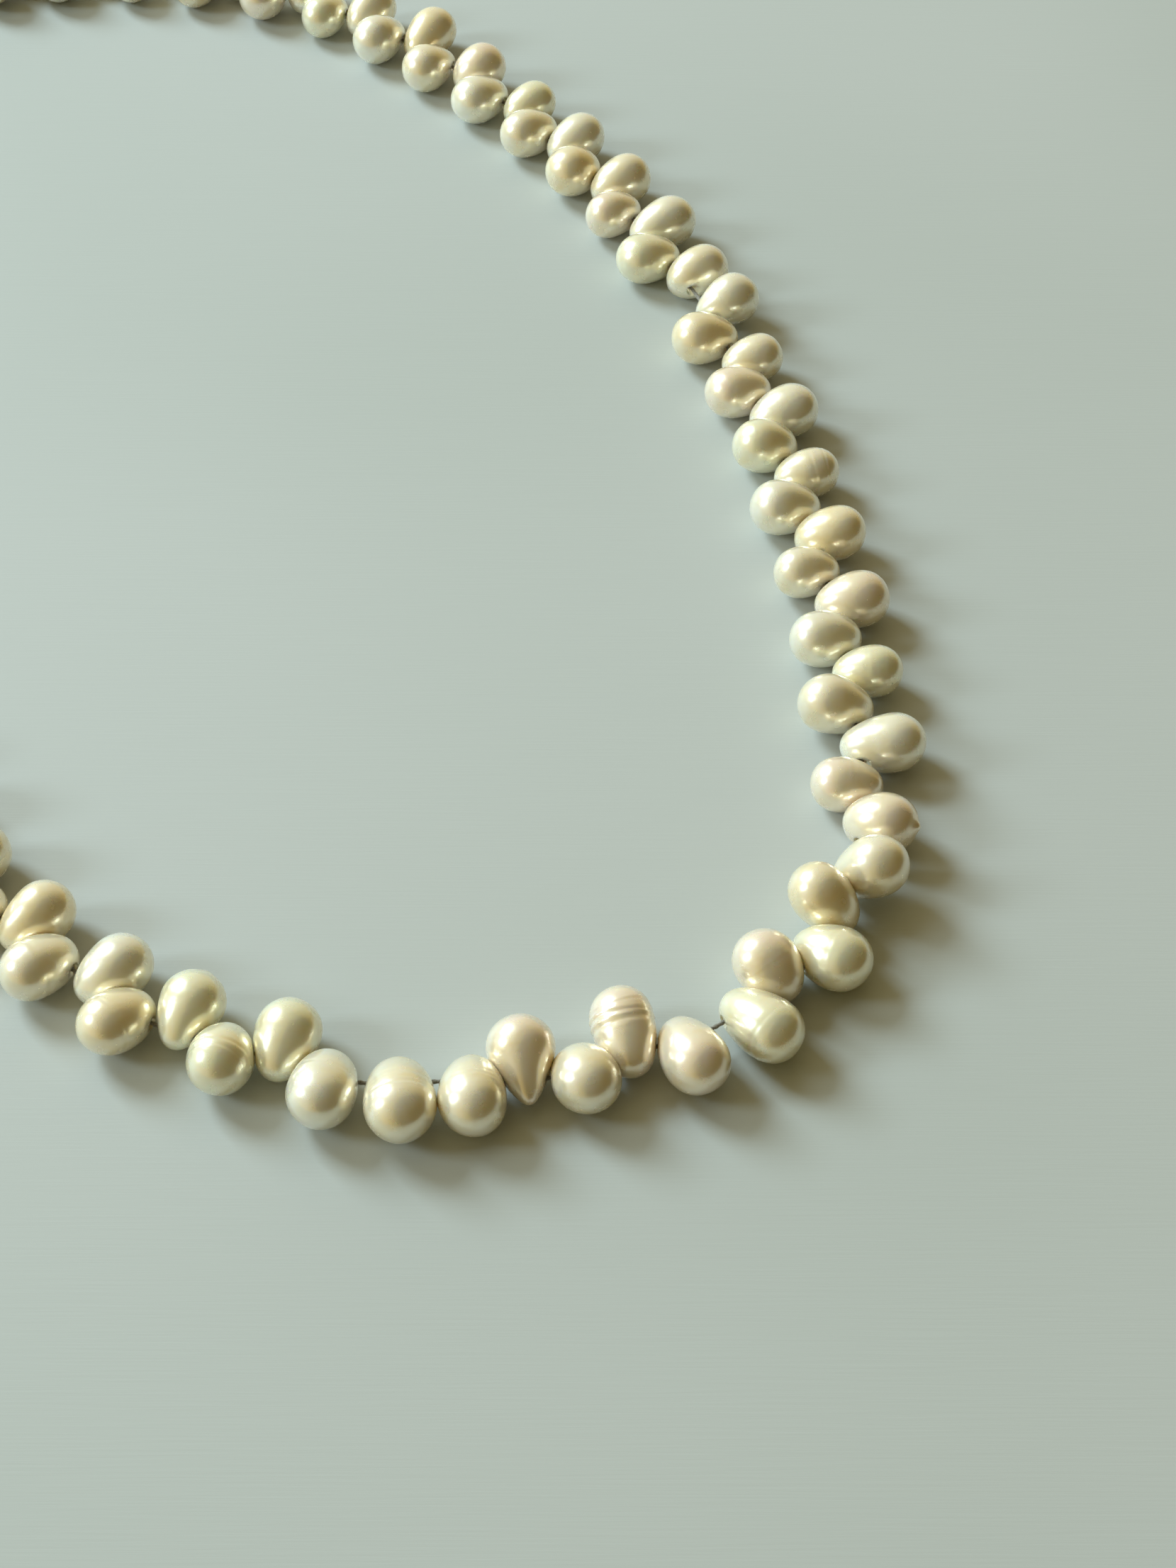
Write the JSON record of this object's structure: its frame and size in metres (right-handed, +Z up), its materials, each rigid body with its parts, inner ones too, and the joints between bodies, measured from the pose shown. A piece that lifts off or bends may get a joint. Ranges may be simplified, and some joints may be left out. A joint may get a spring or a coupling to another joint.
{
  "type": "pearl necklace",
  "caption": "Open strand of top-drilled off-round pearls on one thread, with a lobster claw clasp and an end ring.",
  "frame": {"origin": "on the table under the middle of the strand's open loop", "axes": "+Z up from the table, the necklace lies flat in XY; +X towards the middle of the strand, +Y towards the arm that carries the end ring"},
  "size_m": [0.1478, 0.1593, 0.0065],
  "materials": {
    "pearl": "nacre: cream body colour, satin gloss with pink and green overtones",
    "thread": "fine twisted thread, grey-brown",
    "silver": "polished sterling silver",
    "silver_bright": "drawn wire and spring"
  },
  "bodies": {
    "link_01": {"pearls_01_04": "pearl"},
    "link_02": {"pearls_05_08": "pearl"},
    "link_03": {"pearls_09_12": "pearl"},
    "link_04": {"pearls_13_16": "pearl"},
    "link_05": {"pearls_17_20": "pearl"},
    "link_06": {"pearls_21_24": "pearl"},
    "link_07": {"thread_07": "thread"},
    "link_08": {"thread_08": "thread"},
    "link_09": {"thread_09": "thread"},
    "link_10": {"thread_10": "thread"},
    "link_11": {"thread_11": "thread"},
    "link_12": {"thread_12": "thread"},
    "link_13": {"thread_13": "thread"},
    "link_14": {"pearls_45_48": "pearl"},
    "link_15": {"pearls_49_52": "pearl", "thread_claw_side": "thread", "thread_ring_side": "thread"},
    "link_16": {"pearls_53_56": "pearl"},
    "link_17": {"pearls_57_60": "pearl"},
    "link_18": {"pearls_61_64": "pearl"},
    "link_19": {"pearls_65_68": "pearl"},
    "link_20": {"pearls_69_72": "pearl"},
    "link_21": {"pearls_73_76": "pearl"},
    "link_22": {"pearls_77_80": "pearl"},
    "link_23": {"pearls_81_84": "pearl"},
    "link_24": {"pearls_85_88": "pearl"},
    "link_25": {"pearls_89_92": "pearl"},
    "link_26": {"pearls_93_96": "pearl"},
    "link_27": {"pearls_97_100": "pearl"},
    "pearl_25": {"pearl_25": "pearl"},
    "pearl_26": {"pearl_26": "pearl"},
    "pearl_27": {"pearl_27": "pearl"},
    "pearl_28": {"pearl_28": "pearl"},
    "pearl_29": {"pearl_29": "pearl"},
    "pearl_30": {"pearl_30": "pearl"},
    "pearl_31": {"pearl_31": "pearl"},
    "pearl_32": {"pearl_32": "pearl"},
    "pearl_33": {"pearl_33": "pearl"},
    "pearl_34": {"pearl_34": "pearl"},
    "pearl_35": {"pearl_35": "pearl"},
    "pearl_36": {"pearl_36": "pearl"},
    "pearl_37": {"pearl_37": "pearl"},
    "pearl_38": {"pearl_38": "pearl"},
    "pearl_39": {"pearl_39": "pearl"},
    "pearl_40": {"pearl_40": "pearl"},
    "pearl_41": {"pearl_41": "pearl"},
    "pearl_42": {"pearl_42": "pearl"},
    "pearl_43": {"pearl_43": "pearl"},
    "pearl_44": {"pearl_44": "pearl"},
    "cover_claw_side": {"knot_cover_claw_side": "silver"},
    "ring_claw_side": {"jump_ring_claw_side": "silver"},
    "claw": {"claw_body": "silver", "claw_pin": "silver_bright", "claw_spring": "silver_bright"},
    "lever": {"claw_lever": "silver"},
    "cover_ring_side": {"knot_cover_ring_side": "silver"},
    "ring_ring_side": {"jump_ring_ring_side": "silver"},
    "end_ring": {"end_ring": "silver"}
  },
  "joints": [
    {"name": "bend_14_15", "type": "hinge", "parent": "link_15", "child": "link_14", "pos_m": [0.06559, -0.01528, 0.0021], "axis": [0, 0, 1], "range_deg": [0, 5], "deforming": ["thread_ring_side"]},
    {"name": "bend_13_14", "type": "hinge", "parent": "link_14", "child": "link_13", "pos_m": [0.06787, -0.03152, 0.0021], "axis": [0, 0, 1], "range_deg": [0, 6], "deforming": ["thread_ring_side"]},
    {"name": "bend_12_13", "type": "hinge", "parent": "link_13", "child": "link_12", "pos_m": [0.06844, -0.04791, 0.0021], "axis": [0, 0, 1], "range_deg": [0, 15]},
    {"name": "bend_11_12", "type": "hinge", "parent": "link_12", "child": "link_11", "pos_m": [0.06631, -0.05717, 0.0021], "axis": [0, 0, 1], "range_deg": [0, 19]},
    {"name": "bend_10_11", "type": "hinge", "parent": "link_11", "child": "link_10", "pos_m": [0.06196, -0.06412, 0.0021], "axis": [0, 0, 1], "range_deg": [0, 18]},
    {"name": "bend_09_10", "type": "hinge", "parent": "link_10", "child": "link_09", "pos_m": [0.05518, -0.06981, 0.0021], "axis": [0, 0, 1], "range_deg": [0, 20]},
    {"name": "bend_08_09", "type": "hinge", "parent": "link_09", "child": "link_08", "pos_m": [0.04301, -0.07424, 0.0021], "axis": [0, 0, 1], "range_deg": [0, 18]},
    {"name": "bend_07_08", "type": "hinge", "parent": "link_08", "child": "link_07", "pos_m": [0.02877, -0.07474, 0.0021], "axis": [0, 0, 1], "range_deg": [0, 6]},
    {"name": "bend_06_07", "type": "hinge", "parent": "link_07", "child": "link_06", "pos_m": [0.01256, -0.06947, 0.0021], "axis": [0, 0, 1], "range_deg": [0, 19], "deforming": ["thread_claw_side"]},
    {"name": "bend_05_06", "type": "hinge", "parent": "link_06", "child": "link_05", "pos_m": [-0.00054, -0.0596, 0.0021], "axis": [0, 0, 1], "range_deg": [0, 9], "deforming": ["thread_claw_side"]},
    {"name": "bend_04_05", "type": "hinge", "parent": "link_05", "child": "link_04", "pos_m": [-0.01193, -0.0478, 0.0021], "axis": [0, 0, 1], "range_deg": [0, 7], "deforming": ["thread_claw_side"]},
    {"name": "bend_03_04", "type": "hinge", "parent": "link_04", "child": "link_03", "pos_m": [-0.0218, -0.0347, 0.0021], "axis": [0, 0, 1], "range_deg": [0, 7], "deforming": ["thread_claw_side"]},
    {"name": "bend_02_03", "type": "hinge", "parent": "link_03", "child": "link_02", "pos_m": [-0.03, -0.0205, 0.0021], "axis": [0, 0, 1], "range_deg": [0, 7], "deforming": ["thread_claw_side"]},
    {"name": "bend_01_02", "type": "hinge", "parent": "link_02", "child": "link_01", "pos_m": [-0.03641, -0.00541, 0.0021], "axis": [0, 0, 1], "range_deg": [0, 7], "deforming": ["thread_claw_side"]},
    {"name": "bend_15_16", "type": "hinge", "parent": "link_15", "child": "link_16", "pos_m": [0.0619, 0.0007, 0.0021], "axis": [0, 0, -1], "range_deg": [0, 6], "deforming": ["thread_ring_side"]},
    {"name": "bend_16_17", "type": "hinge", "parent": "link_16", "child": "link_17", "pos_m": [0.05635, 0.01682, 0.0021], "axis": [0, 0, -1], "range_deg": [0, 8], "deforming": ["thread_ring_side"]},
    {"name": "bend_17_18", "type": "hinge", "parent": "link_17", "child": "link_18", "pos_m": [0.04861, 0.03201, 0.0021], "axis": [0, 0, -1], "range_deg": [0, 7], "deforming": ["thread_ring_side"]},
    {"name": "bend_18_19", "type": "hinge", "parent": "link_18", "child": "link_19", "pos_m": [0.03944, 0.04561, 0.0021], "axis": [0, 0, -1], "range_deg": [0, 7], "deforming": ["thread_ring_side"]},
    {"name": "bend_19_20", "type": "hinge", "parent": "link_19", "child": "link_20", "pos_m": [0.02868, 0.05798, 0.0021], "axis": [0, 0, -1], "range_deg": [0, 12], "deforming": ["thread_ring_side"]},
    {"name": "bend_20_21", "type": "hinge", "parent": "link_20", "child": "link_21", "pos_m": [0.01558, 0.06785, 0.0021], "axis": [0, 0, -1], "range_deg": [0, 17], "deforming": ["thread_ring_side"]},
    {"name": "bend_21_22", "type": "hinge", "parent": "link_21", "child": "link_22", "pos_m": [0.00017, 0.07346, 0.0021], "axis": [0, 0, -1], "range_deg": [0, 17], "deforming": ["thread_ring_side"]},
    {"name": "bend_22_23", "type": "hinge", "parent": "link_22", "child": "link_23", "pos_m": [-0.01621, 0.07432, 0.0021], "axis": [0, 0, -1], "range_deg": [0, 17], "deforming": ["thread_ring_side"]},
    {"name": "bend_23_24", "type": "hinge", "parent": "link_23", "child": "link_24", "pos_m": [-0.03212, 0.07035, 0.0021], "axis": [0, 0, -1], "range_deg": [0, 16], "deforming": ["thread_ring_side"]},
    {"name": "bend_24_25", "type": "hinge", "parent": "link_24", "child": "link_25", "pos_m": [-0.04632, 0.06215, 0.0021], "axis": [0, 0, -1], "range_deg": [0, 16], "deforming": ["thread_ring_side"]},
    {"name": "bend_25_26", "type": "hinge", "parent": "link_25", "child": "link_26", "pos_m": [-0.05771, 0.05036, 0.0021], "axis": [0, 0, -1], "range_deg": [0, 16], "deforming": ["thread_ring_side"]},
    {"name": "bend_26_27", "type": "hinge", "parent": "link_26", "child": "link_27", "pos_m": [-0.06541, 0.03588, 0.0021], "axis": [0, 0, -1], "range_deg": [0, 15], "deforming": ["thread_ring_side"]},
    {"name": "swing_25", "type": "hinge", "parent": "link_07", "child": "pearl_25", "pos_m": [0.01451, -0.0701, 0.0021], "axis": [0.9511, -0.309, 0], "range_deg": [0, 56]},
    {"name": "swing_26", "type": "hinge", "parent": "link_07", "child": "pearl_26", "pos_m": [0.01841, -0.07137, 0.0021], "axis": [0.9511, -0.309, 0], "range_deg": [-20, 0]},
    {"name": "swing_27", "type": "hinge", "parent": "link_07", "child": "pearl_27", "pos_m": [0.02231, -0.07264, 0.0021], "axis": [0.9511, -0.309, 0], "range_deg": [0, 18]},
    {"name": "swing_28", "type": "hinge", "parent": "link_07", "child": "pearl_28", "pos_m": [0.0262, -0.0739, 0.0021], "axis": [0.9511, -0.309, 0], "range_deg": [-30, 0]},
    {"name": "swing_29", "type": "hinge", "parent": "link_08", "child": "pearl_29", "pos_m": [0.03147, -0.07464, 0.0021], "axis": [0.9994, 0.0349, 0], "range_deg": [-60, 0]},
    {"name": "swing_30", "type": "hinge", "parent": "link_08", "child": "pearl_30", "pos_m": [0.03687, -0.07445, 0.0021], "axis": [0.9994, 0.0349, 0], "range_deg": [-15, 0]},
    {"name": "swing_31", "type": "hinge", "parent": "link_08", "child": "pearl_31", "pos_m": [0.04097, -0.07431, 0.0021], "axis": [0.9994, 0.0349, 0], "range_deg": [0, 15]},
    {"name": "swing_32", "type": "hinge", "parent": "link_09", "child": "pearl_32", "pos_m": [0.04494, -0.07354, 0.0021], "axis": [0.9397, 0.342, 0], "range_deg": [-12, 0]},
    {"name": "swing_33", "type": "hinge", "parent": "link_09", "child": "pearl_33", "pos_m": [0.04879, -0.07214, 0.0021], "axis": [0.9397, 0.342, 0], "range_deg": [0, 12]},
    {"name": "swing_34", "type": "hinge", "parent": "link_09", "child": "pearl_34", "pos_m": [0.05265, -0.07073, 0.0021], "axis": [0.9397, 0.342, 0], "range_deg": [-44, 0]},
    {"name": "swing_35", "type": "hinge", "parent": "link_10", "child": "pearl_35", "pos_m": [0.05725, -0.06808, 0.0021], "axis": [0.766, 0.6428, 0], "range_deg": [-18, 0]},
    {"name": "swing_36", "type": "hinge", "parent": "link_10", "child": "pearl_36", "pos_m": [0.06039, -0.06544, 0.0021], "axis": [0.766, 0.6428, 0], "range_deg": [0, 18]},
    {"name": "swing_37", "type": "hinge", "parent": "link_11", "child": "pearl_37", "pos_m": [0.06305, -0.06238, 0.0021], "axis": [0.5299, 0.848, 0], "range_deg": [-16, 0]},
    {"name": "swing_38", "type": "hinge", "parent": "link_11", "child": "pearl_38", "pos_m": [0.06522, -0.05891, 0.0021], "axis": [0.5299, 0.848, 0], "range_deg": [0, 14]},
    {"name": "swing_39", "type": "hinge", "parent": "link_12", "child": "pearl_39", "pos_m": [0.06677, -0.05517, 0.0021], "axis": [0.225, 0.9744, 0], "range_deg": [-6, 0]},
    {"name": "swing_40", "type": "hinge", "parent": "link_12", "child": "pearl_40", "pos_m": [0.06798, -0.04991, 0.0021], "axis": [0.225, 0.9744, 0], "range_deg": [-40, 0]},
    {"name": "swing_41", "type": "hinge", "parent": "link_13", "child": "pearl_41", "pos_m": [0.06837, -0.04586, 0.0021], "axis": [-0.0349, 0.9994, 0], "range_deg": [0, 60]},
    {"name": "swing_42", "type": "hinge", "parent": "link_13", "child": "pearl_42", "pos_m": [0.06823, -0.04177, 0.0021], "axis": [-0.0349, 0.9994, 0], "range_deg": [-60, 0]},
    {"name": "swing_43", "type": "hinge", "parent": "link_13", "child": "pearl_43", "pos_m": [0.06809, -0.03767, 0.0021], "axis": [-0.0349, 0.9994, 0], "range_deg": [0, 48]},
    {"name": "swing_44", "type": "hinge", "parent": "link_13", "child": "pearl_44", "pos_m": [0.06794, -0.03357, 0.0021], "axis": [-0.0349, 0.9994, 0], "range_deg": [-56, 0]},
    {"name": "cover_claw_side_turn", "type": "hinge", "parent": "link_01", "child": "cover_claw_side", "pos_m": [-0.041, 0.0106, 0.0021], "axis": [0, 0, 1], "range_deg": [-12, 12], "deforming": ["thread_claw_side"]},
    {"name": "ring_claw_side_tilt", "type": "hinge", "parent": "cover_claw_side", "child": "ring_claw_side", "pos_m": [-0.04246, 0.01569, 0.0021], "axis": [0.9613, 0.2756, 0], "range_deg": [-5, 60]},
    {"name": "claw_turn", "type": "hinge", "parent": "ring_claw_side", "child": "claw", "pos_m": [-0.04309, 0.01791, 0.0021], "axis": [0, 0, 1], "range_deg": [-35, 35]},
    {"name": "lever_open", "type": "hinge", "parent": "claw", "child": "lever", "pos_m": [-0.04468, 0.02052, 0.0021], "axis": [0, 0, -1], "range_deg": [0, 22], "stiffness_Nm_per_rad": 0.004, "springref_deg": -8.59, "deforming": ["claw_spring"]},
    {"name": "cover_ring_side_turn", "type": "hinge", "parent": "link_27", "child": "cover_ring_side", "pos_m": [-0.06916, 0.01965, 0.0021], "axis": [0, 0, 1], "range_deg": [-12, 12], "deforming": ["thread_ring_side"]},
    {"name": "ring_ring_side_tilt", "type": "hinge", "parent": "cover_ring_side", "child": "ring_ring_side", "pos_m": [-0.07035, 0.01449, 0.0021], "axis": [-0.9744, 0.225, 0], "range_deg": [-5, 60]},
    {"name": "end_ring_turn", "type": "hinge", "parent": "ring_ring_side", "child": "end_ring", "pos_m": [-0.07087, 0.01225, 0.0021], "axis": [0, 0, 1], "range_deg": [-35, 35]}
  ]
}
